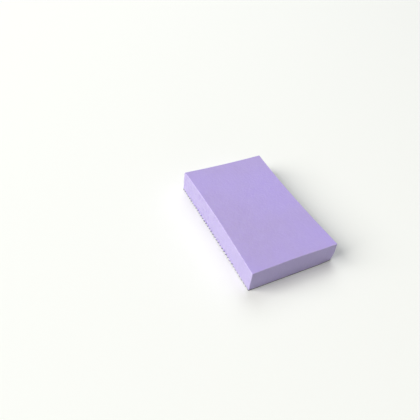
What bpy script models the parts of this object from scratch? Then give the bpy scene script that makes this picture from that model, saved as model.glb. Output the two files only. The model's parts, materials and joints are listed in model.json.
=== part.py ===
"""A thermal gap pad: a soft gel slab on a thin carrier film, lying flat with the film underneath.

Metres, +Z up. The origin is at the middle of the underside. X runs across the pad, Y along it.
"""

import math

import bmesh
import bpy
from mathutils import Vector

# Size of the pad as it is cut from the sheet
PAD_WIDTH = 0.040
PAD_LENGTH = 0.062
GEL_THICKNESS = 0.0096
FILM_THICKNESS = 0.0004

# The film holds the foot of each side straight. Above it the soft gel draws in between the corners,
# by these depths at the middle of a side's top edge
LEFT_DRAW_IN = 0.0006
RIGHT_DRAW_IN = 0.0008
END_DRAW_IN = 0.0003
DRAW_IN_POWER = 1.6

# Rounding of the top rim and of the four upright corners
EDGE_RADIUS = 0.0003
ROUNDING_SEGMENTS = 3

# Row of small notches that a toothed blade left along the foot of the left side
TOOTH_PITCH = 0.0017
NOTCH_WIDTH = 0.0016
NOTCH_DEPTH = 0.0010
NOTCH_RISE = 0.0022
NOTCH_END_MARGIN = 0.0004
NOTCH_OVERRUN = 0.0001

# Length of one facet along a drawn-in side, and up it
SIDE_FACET = 0.004
RISE_FACET = 0.0024

SHARP_ANGLE = math.radians(35)

# A line direction or a face position is told apart to within this share
SAME = 1e-6


def clear_scene():
    for old in list(bpy.data.objects):
        bpy.data.objects.remove(old, do_unlink=True)


def new_collection(name):
    collection = bpy.data.collections.new(name)
    bpy.context.scene.collection.children.link(collection)
    return collection


def principled(name, colour, roughness):
    material = bpy.data.materials.new(name)
    material.use_nodes = True
    shader = material.node_tree.nodes["Principled BSDF"]
    shader.inputs["Base Color"].default_value = (*colour, 1.0)
    shader.inputs["Roughness"].default_value = roughness
    shader.inputs["Metallic"].default_value = 0.0
    return material


def move_to(collection, obj):
    for holder in list(obj.users_collection):
        holder.objects.unlink(obj)
    collection.objects.link(obj)


def add_slab(name, collection, thickness, underside):
    """A slab of the pad's outline and the given thickness, with its scale applied."""
    bpy.ops.mesh.primitive_cube_add(size=1, location=(0, 0, underside + thickness / 2))
    slab = bpy.context.object
    slab.name = name
    slab.data.name = name
    slab.scale = (PAD_WIDTH, PAD_LENGTH, thickness)
    bpy.ops.object.transform_apply(location=False, rotation=False, scale=True)
    move_to(collection, slab)
    return slab


def edges_along(bm, axis):
    """Edges that run along one axis: 0 for X, 1 for Y, 2 for Z."""
    found = []
    for edge in bm.edges:
        run = edge.verts[1].co - edge.verts[0].co
        if abs(run[axis]) > (1 - SAME) * run.length:
            found.append(edge)
    return found


def cut_loops(bm, size, facet):
    """Cuts a box into a grid whose cells are no longer than facet along each axis."""
    for axis in range(3):
        cuts = math.ceil(size[axis] / facet[axis]) - 1
        if cuts > 0:
            bmesh.ops.subdivide_edges(bm, edges=edges_along(bm, axis), cuts=cuts, use_grid_fill=True)


def draw_in_sides(bm):
    """Moves the side faces inwards: nothing at the foot and the corners, most at mid-length on top."""
    half = Vector((PAD_WIDTH / 2, PAD_LENGTH / 2, GEL_THICKNESS / 2))
    for vert in bm.verts:
        share = Vector((vert.co.x / half.x, vert.co.y / half.y, vert.co.z / half.z))
        height = ((share.z + 1) / 2) ** DRAW_IN_POWER
        along_side = (1 - share.y**2) * height
        along_end = (1 - share.x**2) * height
        if share.x < SAME - 1:
            vert.co.x += LEFT_DRAW_IN * along_side
        if share.x > 1 - SAME:
            vert.co.x -= RIGHT_DRAW_IN * along_side
        if abs(share.y) > 1 - SAME:
            vert.co.y -= math.copysign(END_DRAW_IN * along_end, share.y)


def merge_flat_face(bm, level):
    """Joins the grid cells of the flat top or underside into one face."""
    cells = [f for f in bm.faces if all(abs(v.co.z - level) < SAME * PAD_LENGTH for v in f.verts)]
    bmesh.ops.dissolve_faces(bm, faces=cells)


def mark_edges(bm, wanted):
    """Gives the edges that wanted picks a full weight for the Bevel modifier."""
    weight = bm.edges.layers.float.new("bevel_weight_edge")
    for edge in bm.edges:
        edge[weight] = float(wanted([vert.co for vert in edge.verts]))


def is_upright_corner(ends):
    """True for an edge that runs up one of the four corners."""
    near = SAME * PAD_LENGTH
    in_corner = all(
        abs(abs(p.x) - PAD_WIDTH / 2) < near and abs(abs(p.y) - PAD_LENGTH / 2) < near for p in ends
    )
    return in_corner and abs(ends[0].z - ends[1].z) > near


def is_rim_or_corner(ends):
    """True for an edge of the gel's top face or one that runs up a corner."""
    on_rim = all(abs(p.z - GEL_THICKNESS / 2) < SAME * PAD_LENGTH for p in ends)
    return on_rim or is_upright_corner(ends)


def add_bevel(obj):
    bevel = obj.modifiers.new("rounded_edges", "BEVEL")
    bevel.limit_method = "WEIGHT"
    bevel.width = EDGE_RADIUS
    bevel.segments = ROUNDING_SEGMENTS


def shade_round(mesh):
    mesh.shade_smooth()
    mesh.set_sharp_from_angle(angle=SHARP_ANGLE)


def make_gel_pad(collection):
    """The slab of gel: flat above and below, with sides drawn in above a straight foot."""
    pad = add_slab("gel_pad", collection, GEL_THICKNESS, FILM_THICKNESS)
    bm = bmesh.new()
    bm.from_mesh(pad.data)
    cut_loops(bm, (PAD_WIDTH, PAD_LENGTH, GEL_THICKNESS), (SIDE_FACET, SIDE_FACET, RISE_FACET))
    draw_in_sides(bm)
    merge_flat_face(bm, GEL_THICKNESS / 2)
    merge_flat_face(bm, -GEL_THICKNESS / 2)
    mark_edges(bm, is_rim_or_corner)
    bm.to_mesh(pad.data)
    bm.free()
    add_bevel(pad)
    pad.data.materials.append(principled("lilac_gel", (0.46, 0.38, 0.72), 0.75))
    return pad


def make_carrier_film(collection):
    """The thin film that the gel is cast on. It has the gel's straight foot as its outline."""
    film = add_slab("carrier_film", collection, FILM_THICKNESS, 0.0)
    bm = bmesh.new()
    bm.from_mesh(film.data)
    mark_edges(bm, is_upright_corner)
    bm.to_mesh(film.data)
    bm.free()
    add_bevel(film)
    film.data.materials.append(principled("gray_film", (0.33, 0.37, 0.35), 0.55))
    return film


def make_notch_cutter(collection):
    """A row of four-sided pyramids, one for each notch, centred on the foot of the left side."""
    count = math.floor((PAD_LENGTH - 2 * NOTCH_END_MARGIN) / TOOTH_PITCH)
    height = NOTCH_RISE + NOTCH_OVERRUN
    first_y = -(count - 1) / 2 * TOOTH_PITCH
    bpy.ops.mesh.primitive_cone_add(
        vertices=4,
        radius1=1,
        radius2=0,
        depth=height,
        location=(-PAD_WIDTH / 2, first_y, height / 2 - NOTCH_OVERRUN),
    )
    cutter = bpy.context.object
    cutter.name = "notch_cutter"
    spread = height / NOTCH_RISE
    cutter.scale = (NOTCH_DEPTH * spread, NOTCH_WIDTH / 2 * spread, 1)
    bpy.ops.object.transform_apply(location=False, rotation=False, scale=True)
    row = cutter.modifiers.new("row_along_the_foot", "ARRAY")
    row.count = count
    row.use_relative_offset = False
    row.use_constant_offset = True
    row.constant_offset_displace = (0, TOOTH_PITCH, 0)
    row.use_merge_vertices = False
    move_to(collection, cutter)
    cutter.hide_render = True
    cutter.display_type = "WIRE"
    return cutter


def cut_notches(obj, cutter):
    cut = obj.modifiers.new("toothed_foot", "BOOLEAN")
    cut.operation = "DIFFERENCE"
    cut.solver = "EXACT"
    cut.object = cutter


clear_scene()
pieces = new_collection("thermal_pad_sheet")
cutters = new_collection("cutters")
gel_pad = make_gel_pad(pieces)
carrier_film = make_carrier_film(pieces)
notch_cutter = make_notch_cutter(cutters)
for piece in (gel_pad, carrier_film):
    cut_notches(piece, notch_cutter)
    shade_round(piece.data)
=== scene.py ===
"""A thermal gap pad: a thick lilac gel slab on a thin gray carrier film, lying on a pale table.

Each piece grows from a Geometry Nodes tree that chains a few small groups: the slab's form, its soft
corner, the marks of cutting, the film's creases and the row of notches. Materials share three shader
groups: mottle, grain, and one that pales the rims, as rubbed wear and on the gel partly as a painted
highlight.
"""

import json
import math

import bpy
from mathutils import Matrix, Vector


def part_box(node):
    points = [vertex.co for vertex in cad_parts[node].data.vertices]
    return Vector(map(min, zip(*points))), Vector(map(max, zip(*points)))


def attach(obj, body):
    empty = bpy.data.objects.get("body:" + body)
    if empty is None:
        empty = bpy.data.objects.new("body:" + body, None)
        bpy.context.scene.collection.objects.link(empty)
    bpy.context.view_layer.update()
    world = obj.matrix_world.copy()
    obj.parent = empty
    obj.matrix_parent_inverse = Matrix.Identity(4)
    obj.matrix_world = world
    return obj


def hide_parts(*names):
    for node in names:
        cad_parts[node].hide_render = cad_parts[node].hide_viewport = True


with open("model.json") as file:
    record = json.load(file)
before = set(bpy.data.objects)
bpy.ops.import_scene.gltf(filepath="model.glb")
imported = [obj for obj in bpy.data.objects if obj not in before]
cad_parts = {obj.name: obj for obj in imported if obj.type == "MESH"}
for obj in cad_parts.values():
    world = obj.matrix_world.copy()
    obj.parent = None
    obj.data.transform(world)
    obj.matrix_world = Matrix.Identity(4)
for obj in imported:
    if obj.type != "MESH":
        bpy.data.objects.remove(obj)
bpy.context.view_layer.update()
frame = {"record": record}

MM = 0.001

# The two pieces' own boxes, from the frame
GEL_LOW, GEL_HIGH = (Vector(corner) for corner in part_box("gel_pad"))
FILM_LOW, FILM_HIGH = (Vector(corner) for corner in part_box("carrier_film"))
GEL_SIZE = GEL_HIGH - GEL_LOW
FILM_SIZE = FILM_HIGH - FILM_LOW
WIDTH, LENGTH, THICKNESS = GEL_SIZE.x, GEL_SIZE.y, GEL_HIGH.z

# The cut outline: straight along the film, and drawn in between the corners higher up
EDGE_RADIUS = 0.3 * MM
LEFT_DRAW_IN = 0.45 * MM
RIGHT_DRAW_IN = 1.0 * MM
END_DRAW_IN = 0.4 * MM
DRAW_IN_POWER = 1.6

# The left side draws in further towards the rear, but for its tip. Both places are along the side,
# from -1 in front to 1 at the rear: where this draw-in is full, and where the tip starts
TIP_DRAW_IN = 0.35 * MM
TIP_DRAW_IN_FULL = 0.2
TIP_START = 0.88

# The front right corner, squeezed in at its foot and a little at its rim. The squeeze at the foot
# fades out, and the one at the rim begins, at these shares of the thickness
TUCK_REACH = 7 * MM
FOOT_TUCK = 0.35 * MM
RIM_TUCK = 0.25 * MM
FOOT_TUCK_END = 0.45
RIM_TUCK_START = 0.4

# The field rim, which is 1 on an edge, fades out over this distance from it. The gel's pale rims,
# partly a painted highlight, follow this field
RIM_REACH = 0.9 * MM

# What casting and cutting leave on the gel: the size of each mark and its depth. Ripples ride on the
# swell of the top, as a share of it
WANDER_SIZE, WANDER_DEPTH = 9 * MM, 0.16 * MM
DRAG_SIZE, DRAG_DEPTH = 1.1 * MM, 0.05 * MM
PIT_SIZE, PIT_DEPTH = 1.5 * MM, 0.12 * MM
SWELL_SIZE, SWELL_DEPTH = 13 * MM, 0.08 * MM
RIPPLE_SIZE, RIPPLE_SHARE = 2.2 * MM, 0.15

# A pit starts where its noise passes PIT_RIM and is deepest from PIT_FLOOR on. Away from the torn side
# it keeps a share of that depth
PIT_RIM, PIT_FLOOR = 0.46, 0.66
PITS_ELSEWHERE = 0.3

# A pattern that is squashed in Z before it is read runs upright, as the marks of a blade do
WANDER_FLOW = (1.0, 1.0, 0.4)
DRAG_FLOW = (1.0, 1.0, 0.1)
STREAK_FLOW = (1.0, 1.0, 0.12)

# The film's creases, each with its turn from the X axis in radians and its distance from the middle
CREASES = ((0.35, -14 * MM), (1.2, 9 * MM))
CREASE_WIDTH, CREASE_DEPTH = 1.2 * MM, 0.07 * MM
CREASE_BEND_SIZE, CREASE_BEND = 12 * MM, 5 * MM
DENT_SIZE, DENT_DEPTH = 8 * MM, 0.05 * MM

# The notches that a toothed blade left along the left foot
TOOTH_PITCH = 1.7 * MM
NOTCH_WIDTH = 1.5 * MM
NOTCH_DEPTH = 1.0 * MM
NOTCH_RISE = 2.2 * MM
NOTCH_OVERRUN = 0.1 * MM
NOTCH_COUNT = 36
WELD_DISTANCE = 0.01 * MM

# No two notches are alike. Each strays by up to NOTCH_STRAY and turns by up to NOTCH_TURN, in radians,
# and takes a share of the depth, width and rise above. The width's share is 1 at most, because the cut
# fails where two cutters meet
NOTCH_STRAY = 0.05 * MM
NOTCH_TURN = 0.16
LEAST_NOTCH = (0.85, 0.85, 0.8)
LARGEST_NOTCH = (1.55, 1.0, 1.3)

# What is left of a notch at the two ends of the row
FRONT_BITE = 0.25
REAR_BITE = 0.7

# The camera stands where the photograph's stood, worked out from the pad's visible corners and edges.
# Angles are in degrees, and the lens in millimetres
CAMERA_PLACE = Vector((-85.2, -104.2, 132.0)) * MM
CAMERA_HEADING = 31.0
CAMERA_DIP = 43.8
CAMERA_ROLL = 7.2
CAMERA_LENS = 36.4
CAMERA_CLIP_START = 10 * MM

# Linear colours. The two slots' own colours are the record's
SLOT_COLOURS = {entry["slot"]: Vector(entry["base_color"]) for entry in frame["record"]["materials"]}
LILAC = SLOT_COLOURS["lilac_gel"]
SAGE_GRAY = SLOT_COLOURS["gray_film"]
TABLE_WHITE = Vector((0.93, 0.94, 0.905))

# The gel's finishes, as shares of its slot's red, green and blue
CAST_COOL = (0.98, 0.955, 1.06)
CAST_WARM = (0.95, 0.93, 0.92)
CAST_PALE = (1.02, 1.02, 1.02)
CUT_DEEP = (0.93, 0.985, 0.86)
CUT_PALE = (0.97, 1.025, 0.885)
# The pit colour below is painted shade in the pits, not a colour of the gel itself
PIT_PAINTED_SHADE = (0.7, 0.66, 0.74)
FLECK_PALE = (1.4, 1.5, 1.2)
# The rim colour below is partly rubbed wear and partly a painted highlight along the gel's edges
WEAR_AND_HIGHLIGHT_PALE = (1.26, 1.32, 1.1)

# The film's finishes, in the same way
FILM_DEEP = (0.96, 0.96, 0.96)
FILM_PALE = (1.05, 1.05, 1.04)
FILM_FLECK = (1.3, 1.3, 1.3)
FILM_WORN = (1.35, 1.35, 1.35)
# The film's cut edges are darker: partly their own tone, partly painted contact shadow along the foot
FILM_CUT_AND_SHADE = (0.42, 0.39, 0.46)

# Patterns of the gel, by the size of their features: the unevenness of the batch, pale patches,
# filler grain, rubbed edges with a painted highlight, a blade's streaks, the peel of a cast face and
# specks in the pits, painted darker as shade
BATCH_SIZE, PATCH_SIZE = 34 * MM, 5 * MM
GEL_GRAIN_SIZE, GEL_WEAR_SIZE = 0.45 * MM, 1.6 * MM
STREAK_SIZE, PEEL_SIZE, SPECK_SIZE = 0.5 * MM, 1.1 * MM, 0.35 * MM

# Patterns of the film: clouds, grain and rubbed corners
CLOUD_SIZE, FILM_GRAIN_SIZE, FILM_WEAR_SIZE = 9 * MM, 0.35 * MM, 2.0 * MM

# How strongly a pattern shows in the colour, from 0 to 1. The pits' share is painted shade, and the
# gel's worn rims are partly a painted highlight
PATCH_STRENGTH, PIT_SHADE_STRENGTH, FLECK_STRENGTH, GEL_WEAR_AND_HIGHLIGHT_STRENGTH = 0.35, 0.65, 0.55, 0.5
FILM_FLECK_STRENGTH, FILM_WEAR_STRENGTH = 0.25, 0.35

# Roughness of the cast gel and of the film, each followed by what its patterns add
CAST_ROUGHNESS, PEEL_ROUGHNESS, CUT_ROUGHNESS = 0.54, 0.1, 0.14
FILM_ROUGHNESS, CLOUD_ROUGHNESS, GRAIN_ROUGHNESS = 0.4, 0.12, 0.1

# Depth of the bumps, and the shares of it that the patterns have on the gel
GEL_RELIEF, FILM_RELIEF = 0.06 * MM, 0.03 * MM
CAST_PEEL, CAST_GRAIN = 1.5, 0.5
CUT_STREAKS, CUT_GRAIN, CUT_PITS = 0.6, 0.9, 1.2

# The table lies just below the film, so that no two faces share one place
TABLE_SIDE = 6.0
TABLE_GAP = 0.02 * MM

# Strength of the even light from all round, and of the backdrop beyond the table
ROOM_LIGHT = 0.19
BACKDROP_BRIGHTNESS = 0.85

# The lamps: where each is, what it is aimed at, its size, its power in watts and its colour
LAMPS = {
    "window_left": ((-2.6, 0.5, 1.8), (0, 0, 0), (2.4, 2.4), 125.0, (1.0, 0.99, 0.96)),
    "ceiling": ((0.8, 1.4, 1.7), (0.1, 0.2, 0), (1.6, 1.6), 22.0, (0.93, 0.96, 1.0)),
    "low_front": ((-0.5, -2.4, 0.3), (0, 0, 0), (1.4, 0.5), 5.0, (1.0, 0.98, 0.98)),
}

# Faces that meet at a larger angle than this show an edge
SHARP_ANGLE = math.radians(38)

FLOAT, WHOLE, VECTOR = "NodeSocketFloat", "NodeSocketInt", "NodeSocketVector"
GEOMETRY, MATERIAL = "NodeSocketGeometry", "NodeSocketMaterial"


# Node arithmetic


def feed(socket, value):
    """Links a node's result to the socket, or sets a plain value on it."""
    if isinstance(value, Number):
        value = value.socket
    if isinstance(value, bpy.types.NodeSocket):
        socket.id_data.links.new(value, socket)
    else:
        socket.default_value = value


def add_node(tree, kind, inputs=None, **settings):
    """A node with its settings made and its inputs fed, by name or by number."""
    made = tree.nodes.new(kind)
    for name, value in settings.items():
        setattr(made, name, value)
    for key, value in (inputs or {}).items():
        feed(made.inputs[key], value)
    return made


def calc(tree, operation, *values, clamp=False):
    made = add_node(tree, "ShaderNodeMath", operation=operation, use_clamp=clamp)
    for socket, value in zip(made.inputs, values):
        feed(socket, value)
    return Number(made.outputs[0])


def vector_calc(tree, operation, *values):
    made = add_node(tree, "ShaderNodeVectorMath", operation=operation)
    for socket, value in zip((s for s in made.inputs if s.enabled), values):
        feed(socket, value)
    if operation in ("LENGTH", "DOT_PRODUCT"):
        return Number(made.outputs["Value"])
    return Arrow(made.outputs["Vector"])


class Number:
    """A number inside a node tree. Arithmetic on it adds the Math node that does it."""

    def __init__(self, socket):
        self.socket = socket
        self.tree = socket.id_data

    def __add__(self, other):
        return calc(self.tree, "ADD", self, other)

    def __sub__(self, other):
        return calc(self.tree, "SUBTRACT", self, other)

    def __rsub__(self, other):
        return calc(self.tree, "SUBTRACT", other, self)

    def __mul__(self, other):
        return calc(self.tree, "MULTIPLY", self, other)

    def __truediv__(self, other):
        return calc(self.tree, "DIVIDE", self, other)

    def __rtruediv__(self, other):
        return calc(self.tree, "DIVIDE", other, self)

    def __pow__(self, other):
        return calc(self.tree, "POWER", self, other)

    def size(self):
        return calc(self.tree, "ABSOLUTE", self)

    def smaller(self, other):
        return calc(self.tree, "MINIMUM", self, other)

    def larger(self, other):
        return calc(self.tree, "MAXIMUM", self, other)

    def clamped(self):
        return calc(self.tree, "ADD", self, 0.0, clamp=True)

    def ramp(self, low, high, start=0.0, end=1.0, smooth=True):
        """start up to low, end from high on, and a smooth or straight rise between them."""
        made = add_node(
            self.tree,
            "ShaderNodeMapRange",
            {"Value": self, "From Min": low, "From Max": high, "To Min": start, "To Max": end},
            interpolation_type="SMOOTHSTEP" if smooth else "LINEAR",
        )
        return Number(made.outputs["Result"])


class Arrow(Number):
    """A vector inside a node tree. Arithmetic on it adds the Vector Math node that does it."""

    def __add__(self, other):
        return vector_calc(self.tree, "ADD", self, other)

    def __sub__(self, other):
        return vector_calc(self.tree, "SUBTRACT", self, other)

    def __mul__(self, other):
        return vector_calc(self.tree, "MULTIPLY", self, other)

    def __truediv__(self, other):
        return vector_calc(self.tree, "DIVIDE", self, other)

    def size(self):
        return vector_calc(self.tree, "ABSOLUTE", self)

    def smaller(self, other):
        return vector_calc(self.tree, "MINIMUM", self, other)

    def larger(self, other):
        return vector_calc(self.tree, "MAXIMUM", self, other)

    def sine(self):
        return vector_calc(self.tree, "SINE", self)

    def scaled(self, amount):
        return vector_calc(self.tree, "SCALE", self, amount)

    def length(self):
        return vector_calc(self.tree, "LENGTH", self)

    def unit(self):
        return vector_calc(self.tree, "NORMALIZE", self)

    def parts(self):
        made = add_node(self.tree, "ShaderNodeSeparateXYZ", {0: self})
        return [Number(socket) for socket in made.outputs]


def arrow(tree, x, y, z):
    return Arrow(add_node(tree, "ShaderNodeCombineXYZ", {0: x, 1: y, 2: z}).outputs[0])


def noise(place, size, detail=2.0, roughness=0.5, seed=0.0):
    """Smooth noise about 0.5, whose features have the given size, in the units of place."""
    made = add_node(
        place.tree,
        "ShaderNodeTexNoise",
        {"Vector": place, "W": seed, "Scale": 1.0 / size, "Detail": detail, "Roughness": roughness},
        noise_dimensions="4D",
    )
    return Number(made.outputs["Fac"])


def new_group(name, kind, inputs, outputs):
    """A node group with named sockets. inputs are (name, type, default) and outputs (name, type)."""
    tree = bpy.data.node_groups.new(name, kind)
    for label, socket_type, default in inputs:
        item = tree.interface.new_socket(label, in_out="INPUT", socket_type=socket_type)
        if default is not None:
            item.default_value = default
    for label, socket_type in outputs:
        tree.interface.new_socket(label, in_out="OUTPUT", socket_type=socket_type)
    given = {}
    for socket in tree.nodes.new("NodeGroupInput").outputs:
        if socket.type == "VECTOR":
            given[socket.name] = Arrow(socket)
        elif socket.type in ("VALUE", "INT"):
            given[socket.name] = Number(socket)
        else:
            given[socket.name] = socket
    return tree, given, tree.nodes.new("NodeGroupOutput").inputs


def use_group(tree, group, inputs):
    """Places a group in another tree and returns its outputs."""
    kind = "GeometryNodeGroup" if tree.bl_idname == "GeometryNodeTree" else "ShaderNodeGroup"
    made = tree.nodes.new(kind)
    made.node_tree = group
    for key, value in inputs.items():
        feed(made.inputs[key], value)
    return made.outputs


# Shapes


def keep_field(tree, geometry, name, value):
    """Stores a value at every point, so that later nodes and the materials can read it."""
    data_type = "FLOAT_VECTOR" if isinstance(value, Arrow) else "FLOAT"
    made = add_node(
        tree,
        "GeometryNodeStoreNamedAttribute",
        {"Geometry": geometry, "Name": name},
        data_type=data_type,
    )
    feed(made.inputs["Value"], value)
    return made.outputs["Geometry"]


def kept_field(tree, name, kind=Number):
    data_type = "FLOAT_VECTOR" if kind is Arrow else "FLOAT"
    made = add_node(tree, "GeometryNodeInputNamedAttribute", {"Name": name}, data_type=data_type)
    return kind(made.outputs["Attribute"])


def point_place(tree):
    return Arrow(tree.nodes.new("GeometryNodeInputPosition").outputs[0])


def move_points(tree, geometry, offset):
    made = add_node(tree, "GeometryNodeSetPosition", {"Geometry": geometry, "Offset": offset})
    return made.outputs["Geometry"]


def make_slab_form():
    """Geometry group: a rounded slab on a level foot, with its sides drawn in above a straight foot.

    It keeps four fields: outward, the plan direction that a side faces; side, 1 on the cut sides and
    0 on the faces; share, the place in the slab's box from -1 to 1; rim, 1 on an edge, fading to 0.
    """
    tree, given, result = new_group(
        "slab_form",
        "GeometryNodeTree",
        [
            ("Size", VECTOR, None),
            ("Foot Z", FLOAT, 0.0),
            ("Cells across", WHOLE, 10),
            ("Cells along", WHOLE, 10),
            ("Cells up", WHOLE, 2),
            ("Crowding", VECTOR, None),
            ("Corner radius", FLOAT, 0.0),
            ("Rim radius", FLOAT, 0.0),
            ("Rim reach", FLOAT, 0.001),
            ("Left draw-in", FLOAT, 0.0),
            ("Right draw-in", FLOAT, 0.0),
            ("End draw-in", FLOAT, 0.0),
            ("Tip draw-in", FLOAT, 0.0),
            ("Draw-in power", FLOAT, 1.0),
        ],
        [("Geometry", GEOMETRY)],
    )
    box = add_node(
        tree,
        "GeometryNodeMeshCube",
        {
            "Size": given["Size"],
            "Vertices X": given["Cells across"] + 1,
            "Vertices Y": given["Cells along"] + 1,
            "Vertices Z": given["Cells up"] + 1,
        },
    )
    half = given["Size"].scaled(0.5)

    # Loops crowd towards the edges, where the rounding needs them
    even = point_place(tree) / half
    crowded = (even + (even.scaled(math.pi / 2).sine() - even) * given["Crowding"]) * half

    # What lies outside the box of the rounding centres is laid on a sphere or a cylinder about them.
    # The box goes on far below the slab, so the foot stays square
    reach = half - arrow(tree, given["Corner radius"], given["Corner radius"], given["Rim radius"])
    centre = crowded.larger(reach * (-1.0, -1.0, -10.0)).smaller(reach)
    arm = crowded - centre
    arm_x, arm_y, arm_z = arm.size().parts()
    rounded = centre + arm.unit().scaled(arm_x.larger(arm_y).larger(arm_z))
    gap_x, gap_y, gap_z = (half - rounded.size()).parts()
    edge_gap = gap_x.smaller(gap_y).larger(gap_x.larger(gap_y).smaller(gap_z))

    # Between the corners the sides lean inwards, more towards the top. The rear left tip stands out
    share = rounded / half
    across, along, up = share.parts()
    lean = ((up + 1.0) * 0.5).clamped() ** given["Draw-in power"]
    bow = 1.0 - along * along
    before_tip = along.ramp(TIP_START, 1.0, 1.0, 0.0)
    rear = given["Tip draw-in"] * before_tip * along.ramp(-1.0, TIP_DRAW_IN_FULL)
    left = given["Left draw-in"] * bow + rear
    right = given["Right draw-in"] * bow
    draw_x = across * across.ramp(-1.0, 1.0, left, right, smooth=False) * lean
    draw_y = along * given["End draw-in"] * (1.0 - across * across) * lean

    flat_arm = arm * (1.0, 1.0, 0.0)
    geometry = keep_field(tree, box.outputs["Mesh"], "outward", flat_arm.unit())
    side = (flat_arm.length() / given["Corner radius"]).clamped()
    geometry = keep_field(tree, geometry, "side", side)
    geometry = keep_field(tree, geometry, "share", share)
    geometry = keep_field(tree, geometry, "rim", edge_gap.ramp(0.0, given["Rim reach"], 1.0, 0.0))
    stand = arrow(tree, 0.0, 0.0, half.parts()[2] + given["Foot Z"])
    target = rounded - arrow(tree, draw_x, draw_y, 0.0) + stand
    feed(result["Geometry"], move_points(tree, geometry, target - point_place(tree)))
    return tree


def make_soft_corner():
    """Geometry group: squeezes one upright corner in, at its foot and at its rim."""
    tree, given, result = new_group(
        "soft_corner",
        "GeometryNodeTree",
        [
            ("Geometry", GEOMETRY, None),
            ("Corner", VECTOR, None),
            ("Corner reach", FLOAT, 0.01),
            ("Foot tuck", FLOAT, 0.0),
            ("Rim tuck", FLOAT, 0.0),
            ("Thickness", FLOAT, 0.01),
        ],
        [("Geometry", GEOMETRY)],
    )
    place = point_place(tree)
    distance = ((place - given["Corner"]) * (1.0, 1.0, 0.0)).length()
    near = distance.ramp(0.0, given["Corner reach"], 1.0, 0.0)
    height = place.parts()[2] / given["Thickness"]
    foot = height.ramp(0.0, FOOT_TUCK_END, given["Foot tuck"], 0.0)
    rim = height.ramp(RIM_TUCK_START, 1.0, 0.0, given["Rim tuck"])
    inwards = given["Corner"].unit().scaled(near * (foot + rim) * -1.0)
    feed(result["Geometry"], move_points(tree, given["Geometry"], inwards))
    return tree


def make_cut_marks():
    """Geometry group: what cutting leaves on the sides and casting on the top, all of it inwards.

    It keeps the field pitted, 1 in the deepest pits.
    """
    tree, given, result = new_group(
        "cut_marks",
        "GeometryNodeTree",
        [
            ("Geometry", GEOMETRY, None),
            ("Wander", FLOAT, 0.0),
            ("Drag lines", FLOAT, 0.0),
            ("Pits", FLOAT, 0.0),
            ("Swell", FLOAT, 0.0),
            ("Marks seed", FLOAT, 0.0),
        ],
        [("Geometry", GEOMETRY)],
    )
    place = point_place(tree)
    seed = given["Marks seed"]
    across, along, up = kept_field(tree, "share", Arrow).parts()
    side = kept_field(tree, "side")
    above_foot = up.ramp(-1.0, -0.7)

    wander = noise(place * WANDER_FLOW, WANDER_SIZE, detail=1.0, seed=seed) * above_foot
    drag = noise(place * DRAG_FLOW, DRAG_SIZE, detail=2.0, seed=seed + 1.0)

    # The left side was torn more than the others, most of all in its rear half
    torn = across.ramp(-0.5, -1.0) * along.ramp(-0.6, 0.5, 0.2, 1.0)
    pits = noise(place, PIT_SIZE, detail=3.0, roughness=0.65, seed=seed + 2.0).ramp(PIT_RIM, PIT_FLOOR)
    pits = pits * (torn * (1.0 - PITS_ELSEWHERE) + PITS_ELSEWHERE) * side
    depth = wander * given["Wander"] + drag * given["Drag lines"] + pits * given["Pits"]
    inwards = kept_field(tree, "outward", Arrow).scaled(depth * side * -1.0)

    on_top = up.ramp(0.99, 1.0) * (1.0 - side)
    ripples = noise(place, RIPPLE_SIZE, seed=seed + 4.0) * RIPPLE_SHARE
    swell = noise(place, SWELL_SIZE, detail=1.0, seed=seed + 3.0) + ripples
    offset = inwards - arrow(tree, 0.0, 0.0, swell * given["Swell"] * on_top)
    geometry = keep_field(tree, given["Geometry"], "pitted", pits)
    feed(result["Geometry"], move_points(tree, geometry, offset))
    return tree


def make_film_creases():
    """Geometry group: two shallow creases and soft dents, pressed up into the film's underside."""
    tree, given, result = new_group(
        "film_creases",
        "GeometryNodeTree",
        [
            ("Geometry", GEOMETRY, None),
            ("Crease depth", FLOAT, 0.0),
            ("Crease width", FLOAT, 0.001),
            ("Dent depth", FLOAT, 0.0),
        ],
        [("Geometry", GEOMETRY)],
    )
    place = point_place(tree)
    bend = noise(place, CREASE_BEND_SIZE, detail=1.0, seed=7.0) * CREASE_BEND
    creases = None
    for turn, shift in CREASES:
        line = vector_calc(tree, "DOT_PRODUCT", place, (math.cos(turn), math.sin(turn), 0.0))
        crease = (line + bend - shift).size().ramp(0.0, given["Crease width"], 1.0, 0.0)
        creases = crease if creases is None else creases.larger(crease)
    dents = noise(place, DENT_SIZE, detail=2.0, seed=9.0).ramp(0.4, 0.75)
    underneath = kept_field(tree, "share", Arrow).parts()[2].ramp(-1.0, -0.5, 1.0, 0.0)
    inside = kept_field(tree, "rim").ramp(0.0, 0.5, 1.0, 0.0)
    lift = (creases * given["Crease depth"] + dents * given["Dent depth"]) * underneath * inside
    feed(result["Geometry"], move_points(tree, given["Geometry"], arrow(tree, 0.0, 0.0, lift)))
    return tree


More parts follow.
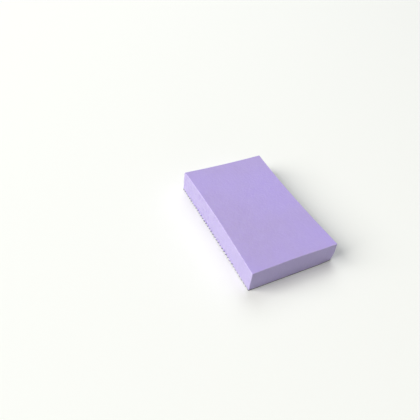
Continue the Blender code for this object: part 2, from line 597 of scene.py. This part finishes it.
def make_notch_row():
    """Geometry group: cuts a row of uneven notches, each a small upright pyramid, along a line in Y."""
    tree, given, result = new_group(
        "notch_row",
        "GeometryNodeTree",
        [
            ("Geometry", GEOMETRY, None),
            ("Count", WHOLE, 1),
            ("Pitch", FLOAT, 0.001),
            ("Side X", FLOAT, 0.0),
            ("Notch width", FLOAT, 0.001),
            ("Notch depth", FLOAT, 0.001),
            ("Notch rise", FLOAT, 0.001),
            ("Overrun", FLOAT, 0.0001),
            ("Weld distance", FLOAT, 0.0),
            ("Notch seed", WHOLE, 0),
        ],
        [("Geometry", GEOMETRY)],
    )
    seed = given["Notch seed"]
    row_length = (given["Count"] - 1.0) * given["Pitch"]
    row = add_node(
        tree,
        "GeometryNodeMeshLine",
        {
            "Count": given["Count"],
            "Start Location": arrow(tree, given["Side X"], row_length * -0.5, given["Overrun"] * -1.0),
            "Offset": arrow(tree, 0.0, given["Pitch"], 0.0),
        },
    )
    shift = add_node(
        tree,
        "FunctionNodeRandomValue",
        {0: (-NOTCH_STRAY, -NOTCH_STRAY, 0.0), 1: (NOTCH_STRAY, NOTCH_STRAY, 0.0), 8: seed},
        data_type="FLOAT_VECTOR",
    )
    unevenness = add_node(
        tree,
        "FunctionNodeRandomValue",
        {0: LEAST_NOTCH, 1: LARGEST_NOTCH, 8: seed + 1.0},
        data_type="FLOAT_VECTOR",
    )
    turn = add_node(
        tree,
        "FunctionNodeRandomValue",
        {2: -NOTCH_TURN, 3: NOTCH_TURN, 8: seed + 2.0},
        data_type="FLOAT",
    )
    tooth = add_node(
        tree,
        "GeometryNodeMeshCone",
        {"Vertices": 4, "Radius Top": 0.0, "Radius Bottom": 1.0, "Depth": 1.0},
    )
    cut_face = keep_field(tree, tooth.outputs["Mesh"], "side", 1.0)

    # A cutter starts below the foot by the overrun, and is larger by as much
    spread = (given["Notch rise"] + given["Overrun"]) / given["Notch rise"]
    size = arrow(
        tree,
        given["Notch depth"] * spread,
        given["Notch width"] * spread * 0.5,
        given["Notch rise"] + given["Overrun"],
    )

    # The blade bit less deep towards both ends, most of all at the front. share is -0.5 to 0.5
    share = point_place(tree).parts()[1] / row_length
    bite = share.ramp(-0.45, -0.2, FRONT_BITE, 1.0) * share.ramp(0.38, 0.5, 1.0, REAR_BITE)
    cutters = add_node(
        tree,
        "GeometryNodeInstanceOnPoints",
        {
            "Points": move_points(tree, row.outputs["Mesh"], Arrow(shift.outputs[0])),
            "Instance": cut_face,
            "Rotation": arrow(tree, 0.0, 0.0, Number(turn.outputs[1])),
            "Scale": size * Arrow(unevenness.outputs[0]) * arrow(tree, bite, 1.0, bite),
        },
    )
    solid = add_node(tree, "GeometryNodeRealizeInstances", {"Geometry": cutters.outputs["Instances"]})
    cut = add_node(
        tree,
        "GeometryNodeMeshBoolean",
        {"Mesh 1": given["Geometry"], "Mesh 2": solid.outputs["Geometry"]},
        operation="DIFFERENCE",
        solver="EXACT",
    )

    # Slivers along the notches are welded shut, and faces with five corners or more are then split
    # into triangles that aren't slivers
    welded = {"Geometry": cut.outputs["Mesh"], "Distance": given["Weld distance"]}
    whole = add_node(tree, "GeometryNodeMergeByDistance", welded).outputs["Geometry"]
    corners = Number(tree.nodes.new("GeometryNodeInputMeshFaceNeighbors").outputs["Vertex Count"])
    split = add_node(
        tree,
        "GeometryNodeTriangulate",
        {"Mesh": whole, "Selection": corners - 4.0},
        ngon_method="BEAUTY",
    )
    feed(result["Geometry"], split.outputs["Mesh"])
    return tree


def chain_groups(name, groups):
    """Geometry tree: runs groups one after another, and has all their other inputs as its own."""
    inputs = [
        (item.name, item.socket_type, None)
        for group in groups
        for item in group.interface.items_tree
        if item.in_out == "INPUT" and item.name != "Geometry"
    ]
    tree, given, result = new_group(
        name, "GeometryNodeTree", [*inputs, ("Material", MATERIAL, None)], [("Geometry", GEOMETRY)]
    )
    geometry = None
    for group in groups:
        labels = [item.name for item in group.interface.items_tree if item.in_out == "INPUT"]
        fed = {label: given.get(label, geometry) for label in labels}
        geometry = use_group(tree, group, fed)["Geometry"]
    real = add_node(tree, "GeometryNodeRealizeInstances", {"Geometry": geometry})
    finish = {"Geometry": real.outputs["Geometry"], "Material": given["Material"]}
    feed(result["Geometry"], add_node(tree, "GeometryNodeSetMaterial", finish).outputs["Geometry"])
    return tree


def grow_piece(name, tree, inputs):
    """Runs a geometry tree once and returns its result as an object with a plain mesh."""
    piece = bpy.data.objects.new(name, bpy.data.meshes.new(name))
    bpy.context.scene.collection.objects.link(piece)
    grower = piece.modifiers.new(name, "NODES")
    grower.node_group = tree
    for item in tree.interface.items_tree:
        if item.in_out == "INPUT":
            grower[item.identifier] = inputs[item.name]
    seen = bpy.context.evaluated_depsgraph_get()
    grown = bpy.data.meshes.new_from_object(piece.evaluated_get(seen), depsgraph=seen)
    piece.modifiers.clear()
    piece.data = grown
    grown.name = name
    grown.shade_smooth()
    grown.set_sharp_from_angle(angle=SHARP_ANGLE)
    return piece


SHARED_INPUTS = {
    "Corner radius": EDGE_RADIUS,
    "Rim reach": RIM_REACH,
    "Draw-in power": DRAW_IN_POWER,
    "Corner": (WIDTH / 2, -LENGTH / 2, 0.0),
    "Corner reach": TUCK_REACH,
    "Foot tuck": FOOT_TUCK,
    "Rim tuck": RIM_TUCK,
    "Thickness": THICKNESS,
    "Count": NOTCH_COUNT,
    "Pitch": TOOTH_PITCH,
    "Side X": -WIDTH / 2,
    "Notch width": NOTCH_WIDTH,
    "Notch depth": NOTCH_DEPTH,
    "Notch rise": NOTCH_RISE,
    "Overrun": NOTCH_OVERRUN,
    "Weld distance": WELD_DISTANCE,
    "Notch seed": 4,
}


def make_gel_slab(slab_form, soft_corner, notch_row, material):
    tree = chain_groups("gel_slab", [slab_form, soft_corner, make_cut_marks(), notch_row])
    inputs = {
        "Size": GEL_SIZE,
        "Foot Z": GEL_LOW.z,
        "Cells across": 96,
        "Cells along": 240,
        "Cells up": 40,
        "Crowding": (0.75, 0.5, 0.65),
        "Rim radius": EDGE_RADIUS,
        "Left draw-in": LEFT_DRAW_IN,
        "Right draw-in": RIGHT_DRAW_IN,
        "End draw-in": END_DRAW_IN,
        "Tip draw-in": TIP_DRAW_IN,
        "Wander": WANDER_DEPTH,
        "Drag lines": DRAG_DEPTH,
        "Pits": PIT_DEPTH,
        "Swell": SWELL_DEPTH,
        "Marks seed": 3.0,
        "Material": material,
    }
    return grow_piece("gel_slab", tree, SHARED_INPUTS | inputs)


def make_film_backing(slab_form, soft_corner, notch_row, material):
    tree = chain_groups("film_backing", [slab_form, soft_corner, make_film_creases(), notch_row])
    inputs = {
        "Size": FILM_SIZE,
        "Foot Z": FILM_LOW.z,
        "Cells across": 100,
        "Cells along": 160,
        "Cells up": 2,
        "Crowding": (0.4, 0.3, 0.0),
        "Rim radius": 0.0,
        "Left draw-in": 0.0,
        "Right draw-in": 0.0,
        "End draw-in": 0.0,
        "Tip draw-in": 0.0,
        "Crease depth": CREASE_DEPTH,
        "Crease width": CREASE_WIDTH,
        "Dent depth": DENT_DEPTH,
        "Material": material,
    }
    return grow_piece("film_backing", tree, SHARED_INPUTS | inputs)


# Materials


def make_mottle():
    """Shader group: soft cloudy patches from 0 to 1."""
    tree, given, result = new_group(
        "mottle",
        "ShaderNodeTree",
        [
            ("Place", VECTOR, None),
            ("Size", FLOAT, 0.01),
            ("Softness", FLOAT, 0.2),
            ("Seed", FLOAT, 0.0),
        ],
        [("Patches", FLOAT)],
    )
    clouds = noise(given["Place"].scaled(1.0 / given["Size"]), 1.0, detail=3.0, seed=given["Seed"])
    feed(result["Patches"], clouds.ramp(0.5 - given["Softness"], given["Softness"] + 0.5))
    return tree


def make_grain():
    """Shader group: fine filler grain, as a height and as the share of pale flecks in it."""
    tree, given, result = new_group(
        "grain",
        "ShaderNodeTree",
        [
            ("Place", VECTOR, None),
            ("Size", FLOAT, 0.001),
            ("Fleck share", FLOAT, 0.3),
            ("Seed", FLOAT, 0.0),
        ],
        [("Height", FLOAT), ("Flecks", FLOAT)],
    )
    place = given["Place"].scaled(1.0 / given["Size"])
    height = noise(place, 1.0, detail=4.0, roughness=0.65, seed=given["Seed"])
    cells = add_node(tree, "ShaderNodeTexVoronoi", {"Vector": place, "Scale": 1.4})
    flecks = Number(cells.outputs["Distance"]).ramp(0.12, 0.38, 1.0, 0.0)
    chosen = Arrow(cells.outputs["Color"]).parts()[0].ramp(0.0, given["Fleck share"], 1.0, 0.0)
    feed(result["Height"], height)
    feed(result["Flecks"], flecks * chosen)
    return tree


def make_pale_rim():
    """Shader group: where an edge is paled, broken up by noise: rubbed wear, and on the gel partly a
    painted highlight.
    """
    tree, given, result = new_group(
        "pale_rim",
        "ShaderNodeTree",
        [
            ("Rim", FLOAT, 0.0),
            ("Place", VECTOR, None),
            ("Size", FLOAT, 0.001),
            ("Amount", FLOAT, 0.5),
        ],
        [("Paled", FLOAT)],
    )
    break_up = noise(given["Place"].scaled(1.0 / given["Size"]), 1.0, detail=3.0, roughness=0.6)
    feed(result["Paled"], (given["Rim"] * break_up).ramp(0.18, 0.55) * given["Amount"])
    return tree


def new_material(name):
    material = bpy.data.materials.new(name)
    material.use_nodes = True
    return material, material.node_tree, material.node_tree.nodes["Principled BSDF"].inputs


def blend(tree, amount, first, second):
    """A colour between two others: first where amount is 0 and second where it is 1."""
    made = add_node(tree, "ShaderNodeMix", data_type="RGBA")
    feed(made.inputs["Factor"], amount)
    for slot, colour in ((6, first), (7, second)):
        feed(made.inputs[slot], (*colour, 1.0) if isinstance(colour, Vector) else colour)
    return made.outputs[2]


def tinted(colour, shares):
    return Vector([channel * share for channel, share in zip(colour, shares)])


def object_place(tree):
    return Arrow(tree.nodes.new("ShaderNodeTexCoord").outputs["Object"])


def mesh_field(tree, name):
    return Number(add_node(tree, "ShaderNodeAttribute", attribute_name=name).outputs["Fac"])


def paled_edges(tree, pale_rim, place, size, strength):
    inputs = {"Rim": mesh_field(tree, "rim"), "Place": place, "Size": size, "Amount": strength}
    return Number(use_group(tree, pale_rim, inputs)["Paled"])


def relief(tree, shader, height, depth):
    """Bumps a surface: height from 0 to 1 stands for depth in metres."""
    bump = add_node(tree, "ShaderNodeBump", {"Strength": 1.0, "Distance": depth, "Height": height})
    feed(shader["Normal"], bump.outputs["Normal"])


def make_lilac_gel(mottle, grain, pale_rim):
    """Filled silicone gel: smooth and matte where it was cast, paler and grainy where it was cut."""
    material, tree, shader = new_material("lilac_gel")
    place = object_place(tree)
    side = mesh_field(tree, "side")
    batch = Number(use_group(tree, mottle, {"Place": place, "Size": BATCH_SIZE, "Seed": 7.0})["Patches"])
    patches = Number(use_group(tree, mottle, {"Place": place, "Size": PATCH_SIZE, "Seed": 5.0})["Patches"])
    fine = use_group(tree, grain, {"Place": place, "Size": GEL_GRAIN_SIZE, "Fleck share": 0.3})
    pale_rim_share = paled_edges(tree, pale_rim, place, GEL_WEAR_SIZE, GEL_WEAR_AND_HIGHLIGHT_STRENGTH)
    grain_height, flecks = Number(fine["Height"]), Number(fine["Flecks"])
    drag = noise(place * STREAK_FLOW, STREAK_SIZE, detail=3.0, seed=8.0)
    peel = noise(place, PEEL_SIZE, detail=2.0, seed=6.0)
    specks = noise(place, SPECK_SIZE, roughness=0.6, seed=4.0).ramp(0.45, 0.65)
    pits = mesh_field(tree, "pitted") * specks

    cast = blend(tree, batch, tinted(LILAC, CAST_COOL), tinted(LILAC, CAST_WARM))
    cast = blend(tree, patches * PATCH_STRENGTH, cast, tinted(LILAC, CAST_PALE))
    cut = blend(tree, drag.ramp(0.3, 0.7), tinted(LILAC, CUT_DEEP), tinted(LILAC, CUT_PALE))
    # Pits painted darker: painted shade in the pits
    cut = blend(tree, pits * PIT_SHADE_STRENGTH, cut, tinted(LILAC, PIT_PAINTED_SHADE))
    skin = blend(tree, side, cast, cut)
    skin = blend(tree, flecks * FLECK_STRENGTH, skin, tinted(LILAC, FLECK_PALE))
    # Pale rims: partly rubbed wear, partly a painted highlight along the edges
    feed(shader["Base Color"], blend(tree, pale_rim_share, skin, tinted(LILAC, WEAR_AND_HIGHLIGHT_PALE)))
    roughness = side * CUT_ROUGHNESS + peel * PEEL_ROUGHNESS + CAST_ROUGHNESS
    feed(shader["Roughness"], roughness.clamped())
    shader["Specular IOR Level"].default_value = 0.35
    shader["Subsurface Weight"].default_value = 0.2
    shader["Subsurface Radius"].default_value = (1.0, 0.8, 1.3)
    shader["Subsurface Scale"].default_value = 0.6 * MM
    cast_face = peel * CAST_PEEL + grain_height * CAST_GRAIN
    cut_face = drag * CUT_STREAKS + grain_height * CUT_GRAIN - pits * CUT_PITS
    relief(tree, shader, cast_face * (1.0 - side) + cut_face * side, GEL_RELIEF)
    return material


def make_gray_film(mottle, grain, pale_rim):
    """Sage gray carrier film: satin, cloudy, with pale rubbed corners and cut edges darkened partly by
    painted contact shadow.
    """
    material, tree, shader = new_material("gray_film")
    place = object_place(tree)
    side = mesh_field(tree, "side")
    clouds = use_group(tree, mottle, {"Place": place, "Size": CLOUD_SIZE, "Softness": 0.15})
    patches = Number(clouds["Patches"])
    fine_grain = {"Place": place, "Size": FILM_GRAIN_SIZE, "Fleck share": 0.2, "Seed": 3.0}
    fine = use_group(tree, grain, fine_grain)
    pale_rim_share = paled_edges(tree, pale_rim, place, FILM_WEAR_SIZE, FILM_WEAR_STRENGTH)
    grain_height, flecks = Number(fine["Height"]), Number(fine["Flecks"])
    face = blend(tree, patches, tinted(SAGE_GRAY, FILM_DEEP), tinted(SAGE_GRAY, FILM_PALE))
    face = blend(tree, flecks * FILM_FLECK_STRENGTH, face, tinted(SAGE_GRAY, FILM_FLECK))
    face = blend(tree, pale_rim_share, face, tinted(SAGE_GRAY, FILM_WORN))
    # Cut edges darkened: partly their own tone, partly painted contact shadow
    feed(shader["Base Color"], blend(tree, side, face, tinted(SAGE_GRAY, FILM_CUT_AND_SHADE)))
    roughness = patches * CLOUD_ROUGHNESS + grain_height * GRAIN_ROUGHNESS + FILM_ROUGHNESS
    feed(shader["Roughness"], roughness.clamped())
    relief(tree, shader, grain_height, FILM_RELIEF)
    return material


def make_table_white():
    material, _, shader = new_material("table_white")
    shader["Base Color"].default_value = (*TABLE_WHITE, 1.0)
    shader["Roughness"].default_value = 0.7
    shader["Specular IOR Level"].default_value = 0.2
    return material


# Stage


def add_table(material):
    bpy.ops.mesh.primitive_plane_add(size=TABLE_SIDE, location=(0, 0, -TABLE_GAP))
    table = bpy.context.object
    table.name = "table"
    table.data.materials.append(material)


def add_area_light(name, place, aim, size, power, colour):
    data = bpy.data.lights.new(name, "AREA")
    data.shape = "RECTANGLE"
    data.size, data.size_y = size
    data.energy = power
    data.color = colour
    lamp = bpy.data.objects.new(name, data)
    lamp.location = place
    lamp.rotation_euler = (Vector(aim) - Vector(place)).to_track_quat("-Z", "Y").to_euler()
    bpy.context.scene.collection.objects.link(lamp)


def light_the_room():
    """Three soft lamps, weak light from all round, and a pale backdrop that gives no light itself."""
    world = bpy.context.scene.world or bpy.data.worlds.new("room")
    bpy.context.scene.world = world
    world.use_nodes = True
    tree = world.node_tree
    background = tree.nodes["Background"].inputs
    background["Color"].default_value = (1.0, 1.0, 1.0, 1.0)
    seen = Number(add_node(tree, "ShaderNodeLightPath").outputs["Is Camera Ray"])
    feed(background["Strength"], seen.ramp(0.0, 1.0, ROOM_LIGHT, BACKDROP_BRIGHTNESS, smooth=False))
    for name, settings in LAMPS.items():
        add_area_light(name, *settings)


def add_camera():
    """Looks along its heading, measured from +Y towards +X, dips below the horizon and rolls."""
    data = bpy.data.cameras.new("camera")
    data.lens = CAMERA_LENS
    data.clip_start = CAMERA_CLIP_START
    camera = bpy.data.objects.new("camera", data)
    heading, dip = math.radians(CAMERA_HEADING), math.radians(CAMERA_DIP)
    run, drop = math.cos(dip), math.sin(dip)
    ahead = Vector((math.sin(heading) * run, math.cos(heading) * run, -drop))
    upright = ahead.to_track_quat("-Z", "Y").to_matrix().to_4x4()
    roll = Matrix.Rotation(math.radians(CAMERA_ROLL), 4, "Z")
    camera.matrix_world = Matrix.Translation(CAMERA_PLACE) @ upright @ roll
    bpy.context.scene.collection.objects.link(camera)
    bpy.context.scene.camera = camera


bpy.context.scene.view_settings.view_transform = "Standard"

mottle, grain, pale_rim = make_mottle(), make_grain(), make_pale_rim()
slab_groups = make_slab_form(), make_soft_corner(), make_notch_row()
gel_slab = make_gel_slab(*slab_groups, make_lilac_gel(mottle, grain, pale_rim))
film_backing = make_film_backing(*slab_groups, make_gray_film(mottle, grain, pale_rim))
for piece, node, slot in (
    (gel_slab, "gel_pad", "lilac_gel"),
    (film_backing, "carrier_film", "gray_film"),
):
    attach(piece, "root")
    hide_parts(node)

add_table(make_table_white())
light_the_room()
add_camera()
